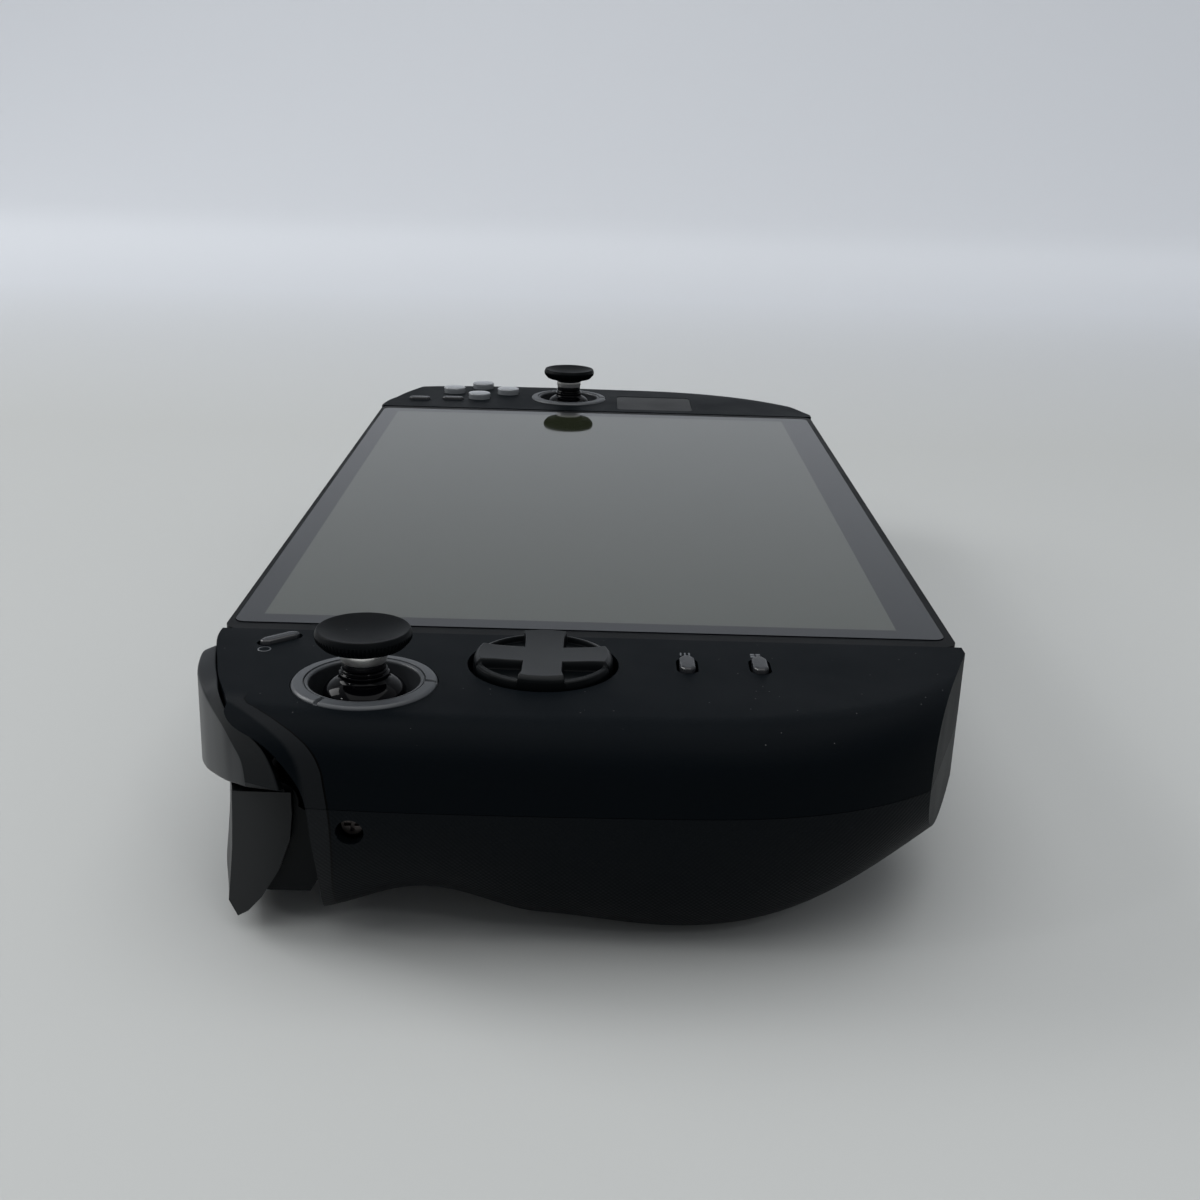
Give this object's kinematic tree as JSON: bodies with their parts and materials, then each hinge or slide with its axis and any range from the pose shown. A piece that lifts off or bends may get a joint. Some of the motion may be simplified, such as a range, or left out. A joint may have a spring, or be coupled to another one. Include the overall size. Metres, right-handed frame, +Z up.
{
  "type": "handheld game console",
  "caption": "Handheld game console: a thick screen tablet between two detachable contoured controllers with thumb sticks, direction pad, round buttons, bumpers and triggers.",
  "frame": {"origin": "on the table, under the middle of the bounding box of the console lying screen up on its grips", "axes": "+X from the left controller to the right one, +Y towards the bumpers and triggers, +Z up out of the screen"},
  "size_m": [0.2956, 0.1367, 0.0525],
  "materials": {
    "shell_plastic": "fine satin texture, near black",
    "frame_plastic": "satin, near black",
    "bumper_plastic": "smooth satin",
    "ring_plastic": "flat satin",
    "inner_plastic": "plain moulded",
    "pad_plastic": "fine matte",
    "button_plastic": "polished",
    "button_clear": "polished, smoky",
    "stick_gloss": "polished black",
    "stick_rubber": "smooth, finely ribbed edge",
    "screen_glass": "polished",
    "screen_panel": "dark, switched off",
    "board": "printed board",
    "cell": "wrapped cell",
    "inner_metal": "bare",
    "steel": "stamped",
    "dark_steel": "blackened"
  },
  "bodies": {
    "tablet": {"tablet_frame": "frame_plastic", "tablet_rear_cover": "frame_plastic", "display_glass": "screen_glass", "display_panel": "screen_panel", "mainboard": "board", "battery_pack": "cell", "fan_housing": "inner_plastic", "heat_sink": "inner_metal", "speakers": "inner_plastic", "port_sockets": "steel", "controller_rails": "steel", "tablet_screws": "dark_steel"},
    "fan_rotor": {"fan_rotor": "inner_plastic"},
    "kickstand": {"kickstand": "frame_plastic"},
    "power_button": {"power_button": "shell_plastic"},
    "volume_rocker": {"volume_rocker": "shell_plastic"},
    "left_controller": {"left_front_shell": "shell_plastic", "left_rear_shell": "shell_plastic", "left_side_plate": "inner_plastic", "left_circuit_board": "board", "left_battery": "cell", "left_stick_ring": "ring_plastic", "left_stick_base": "inner_plastic", "left_screws": "dark_steel"},
    "left_stick_yoke": {"left_stick_yoke": "inner_plastic"},
    "left_stick": {"left_stick_post": "stick_gloss", "left_stick_cap": "stick_rubber"},
    "left_bumper": {"left_bumper": "bumper_plastic"},
    "left_trigger": {"left_trigger": "bumper_plastic"},
    "left_upper_rear_button": {"left_upper_rear_button": "bumper_plastic"},
    "left_lower_rear_button": {"left_lower_rear_button": "bumper_plastic"},
    "left_release_button": {"left_release_button": "bumper_plastic"},
    "right_controller": {"right_front_shell": "shell_plastic", "right_rear_shell": "shell_plastic", "right_side_plate": "inner_plastic", "right_circuit_board": "board", "right_battery": "cell", "right_stick_ring": "ring_plastic", "right_stick_base": "inner_plastic", "right_screws": "dark_steel", "touchpad": "pad_plastic"},
    "right_stick_yoke": {"right_stick_yoke": "inner_plastic"},
    "right_stick": {"right_stick_post": "stick_gloss", "right_stick_cap": "stick_rubber"},
    "right_bumper": {"right_bumper": "bumper_plastic"},
    "right_trigger": {"right_trigger": "bumper_plastic"},
    "right_upper_rear_button": {"right_upper_rear_button": "bumper_plastic"},
    "right_lower_rear_button": {"right_lower_rear_button": "bumper_plastic"},
    "right_release_button": {"right_release_button": "bumper_plastic"},
    "left_home_button": {"left_home_button": "button_plastic"},
    "view_button": {"view_button": "button_plastic"},
    "menu_button": {"menu_button": "button_plastic"},
    "right_home_button": {"right_home_button": "button_plastic"},
    "capture_button": {"capture_button": "button_plastic"},
    "button_top": {"button_top": "button_clear"},
    "button_bottom": {"button_bottom": "button_clear"},
    "button_near": {"button_near": "button_clear"},
    "button_far": {"button_far": "button_clear"},
    "dpad_rocker": {"dpad_rocker": "inner_plastic"},
    "dpad": {"dpad": "pad_plastic"}
  },
  "joints": [
    {"name": "fan_spin", "type": "hinge", "parent": "tablet", "child": "fan_rotor", "pos_m": [0.03, 0.024, 0.0343], "axis": [0, 0, 1], "continuous": true},
    {"name": "kickstand_hinge", "type": "hinge", "parent": "tablet", "child": "kickstand", "pos_m": [0, -0.007, 0.0212], "axis": [1, 0, 0], "range_deg": [0, 120]},
    {"name": "power_press", "type": "slide", "parent": "tablet", "child": "power_button", "axis": [0, -1, 0], "range_m": [0, 0.0005], "stiffness_N_per_m": 800, "springref_m": -0.0004},
    {"name": "volume_rock", "type": "hinge", "parent": "tablet", "child": "volume_rocker", "pos_m": [-0.05, 0.0647, 0.033], "axis": [0, 0, 1], "range_deg": [-1.5, 1.5], "stiffness_Nm_per_rad": 0.08},
    {"name": "left_controller_slide", "type": "slide", "parent": "tablet", "child": "left_controller", "axis": [-1, 0, 0], "range_m": [0, 0.035]},
    {"name": "left_stick_fore_aft", "type": "hinge", "parent": "left_controller", "child": "left_stick_yoke", "pos_m": [-0.1273, 0.0367, 0.0333], "axis": [1, 0, 0], "range_deg": [-15, 15], "stiffness_Nm_per_rad": 0.03},
    {"name": "left_stick_side_to_side", "type": "hinge", "parent": "left_stick_yoke", "child": "left_stick", "pos_m": [-0.1273, 0.0367, 0.0333], "axis": [0, 1, 0], "range_deg": [-15, 15], "stiffness_Nm_per_rad": 0.03},
    {"name": "left_bumper_press", "type": "hinge", "parent": "left_controller", "child": "left_bumper", "pos_m": [-0.1106, 0.0615, 0.0348], "axis": [0, 0, 1], "range_deg": [0, 1.4], "stiffness_Nm_per_rad": 1, "springref_deg": -0.57},
    {"name": "left_trigger_pull", "type": "hinge", "parent": "left_controller", "child": "left_trigger", "pos_m": [-0.122, 0.0505, 0.0237], "axis": [-1, 0, 0], "range_deg": [0, 13], "stiffness_Nm_per_rad": 0.1, "springref_deg": -5.73},
    {"name": "left_upper_rear_button_press", "type": "slide", "parent": "left_controller", "child": "left_upper_rear_button", "axis": [0, 0, 1], "range_m": [0, 0.0008], "stiffness_N_per_m": 600, "springref_m": -0.0003},
    {"name": "left_lower_rear_button_press", "type": "slide", "parent": "left_controller", "child": "left_lower_rear_button", "axis": [0, 0, 1], "range_m": [0, 0.0008], "stiffness_N_per_m": 600, "springref_m": -0.0003},
    {"name": "left_release_button_press", "type": "slide", "parent": "left_controller", "child": "left_release_button", "axis": [0, 0, 1], "range_m": [0, 0.0008], "stiffness_N_per_m": 600, "springref_m": -0.0003},
    {"name": "right_controller_slide", "type": "slide", "parent": "tablet", "child": "right_controller", "axis": [1, 0, 0], "range_m": [0, 0.035]},
    {"name": "right_stick_fore_aft", "type": "hinge", "parent": "right_controller", "child": "right_stick_yoke", "pos_m": [0.123, 0.0084, 0.0333], "axis": [1, 0, 0], "range_deg": [-15, 15], "stiffness_Nm_per_rad": 0.03},
    {"name": "right_stick_side_to_side", "type": "hinge", "parent": "right_stick_yoke", "child": "right_stick", "pos_m": [0.123, 0.0084, 0.0333], "axis": [0, 1, 0], "range_deg": [-15, 15], "stiffness_Nm_per_rad": 0.03},
    {"name": "right_bumper_press", "type": "hinge", "parent": "right_controller", "child": "right_bumper", "pos_m": [0.1106, 0.0615, 0.0348], "axis": [0, 0, -1], "range_deg": [0, 1.4], "stiffness_Nm_per_rad": 1, "springref_deg": -0.57},
    {"name": "right_trigger_pull", "type": "hinge", "parent": "right_controller", "child": "right_trigger", "pos_m": [0.122, 0.0505, 0.0237], "axis": [-1, 0, 0], "range_deg": [0, 13], "stiffness_Nm_per_rad": 0.1, "springref_deg": -5.73},
    {"name": "right_upper_rear_button_press", "type": "slide", "parent": "right_controller", "child": "right_upper_rear_button", "axis": [0, 0, 1], "range_m": [0, 0.0008], "stiffness_N_per_m": 600, "springref_m": -0.0003},
    {"name": "right_lower_rear_button_press", "type": "slide", "parent": "right_controller", "child": "right_lower_rear_button", "axis": [0, 0, 1], "range_m": [0, 0.0008], "stiffness_N_per_m": 600, "springref_m": -0.0003},
    {"name": "right_release_button_press", "type": "slide", "parent": "right_controller", "child": "right_release_button", "axis": [0, 0, 1], "range_m": [0, 0.0008], "stiffness_N_per_m": 600, "springref_m": -0.0003},
    {"name": "left_home_button_press", "type": "slide", "parent": "left_controller", "child": "left_home_button", "axis": [0, 0, -1], "range_m": [0, 0.0006], "stiffness_N_per_m": 600, "springref_m": -0.0004},
    {"name": "view_button_press", "type": "slide", "parent": "left_controller", "child": "view_button", "axis": [0, 0, -1], "range_m": [0, 0.0006], "stiffness_N_per_m": 600, "springref_m": -0.0004},
    {"name": "menu_button_press", "type": "slide", "parent": "left_controller", "child": "menu_button", "axis": [0, 0, -1], "range_m": [0, 0.0006], "stiffness_N_per_m": 600, "springref_m": -0.0004},
    {"name": "right_home_button_press", "type": "slide", "parent": "right_controller", "child": "right_home_button", "axis": [0, 0, -1], "range_m": [0, 0.0006], "stiffness_N_per_m": 600, "springref_m": -0.0004},
    {"name": "capture_button_press", "type": "slide", "parent": "right_controller", "child": "capture_button", "axis": [0, 0, -1], "range_m": [0, 0.0006], "stiffness_N_per_m": 600, "springref_m": -0.0004},
    {"name": "button_top_press", "type": "slide", "parent": "right_controller", "child": "button_top", "axis": [0, 0, -1], "range_m": [0, 0.001], "stiffness_N_per_m": 600, "springref_m": -0.0004},
    {"name": "button_bottom_press", "type": "slide", "parent": "right_controller", "child": "button_bottom", "axis": [0, 0, -1], "range_m": [0, 0.001], "stiffness_N_per_m": 600, "springref_m": -0.0004},
    {"name": "button_near_press", "type": "slide", "parent": "right_controller", "child": "button_near", "axis": [0, 0, -1], "range_m": [0, 0.001], "stiffness_N_per_m": 600, "springref_m": -0.0004},
    {"name": "button_far_press", "type": "slide", "parent": "right_controller", "child": "button_far", "axis": [0, 0, -1], "range_m": [0, 0.001], "stiffness_N_per_m": 600, "springref_m": -0.0004},
    {"name": "dpad_fore_aft", "type": "hinge", "parent": "left_controller", "child": "dpad_rocker", "pos_m": [-0.1166, 0.0074, 0.0358], "axis": [1, 0, 0], "range_deg": [-3, 3], "stiffness_Nm_per_rad": 0.1},
    {"name": "dpad_side_to_side", "type": "hinge", "parent": "dpad_rocker", "child": "dpad", "pos_m": [-0.1166, 0.0074, 0.0358], "axis": [0, 1, 0], "range_deg": [-3, 3], "stiffness_Nm_per_rad": 0.1}
  ]
}
